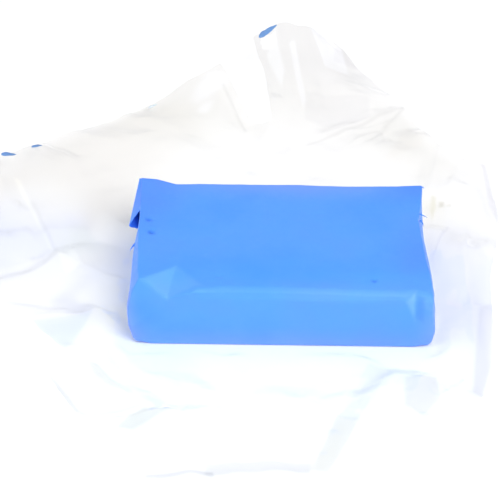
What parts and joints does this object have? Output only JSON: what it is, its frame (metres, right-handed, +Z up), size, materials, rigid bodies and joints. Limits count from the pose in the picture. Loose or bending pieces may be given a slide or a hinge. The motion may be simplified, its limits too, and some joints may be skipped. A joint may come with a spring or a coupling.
{
  "type": "detailing clay bar",
  "caption": "Rounded block of soft blue detailing clay on its opened-out clear film wrapper; lifts off, and the wrapper's front and back flaps fold up",
  "frame": {"origin": "centre of the bar's footprint, on the underside of the wrapper where it rests on the table", "axes": "+X along the bar's length, +Y towards the wrapper's back flap, +Z up"},
  "size_m": [0.188, 0.237, 0.023],
  "materials": {
    "clay": "soft satin blue clay putty, smooth where the film pressed on it",
    "film": "thin clear glossy wrapping film, crinkled"
  },
  "bodies": {
    "wrapper": {"film_base": "film"},
    "bar": {"clay_bar": "clay"},
    "back_flap": {"film_back_flap": "film", "clay_mark_1": "clay", "clay_mark_2": "clay", "clay_mark_3": "clay", "clay_mark_4": "clay"},
    "front_flap": {"film_front_flap": "film"}
  },
  "joints": [
    {"name": "bar_lift", "type": "slide", "parent": "wrapper", "child": "bar", "axis": [0, 0, 1], "range_m": [0, 0.05]},
    {"name": "back_flap_fold", "type": "hinge", "parent": "wrapper", "child": "back_flap", "pos_m": [0, 0.038, 0.0002], "axis": [1, 0, 0], "range_deg": [0, 75]},
    {"name": "front_flap_fold", "type": "hinge", "parent": "wrapper", "child": "front_flap", "pos_m": [0, -0.038, 0.0002], "axis": [-1, 0, 0], "range_deg": [0, 75]}
  ]
}
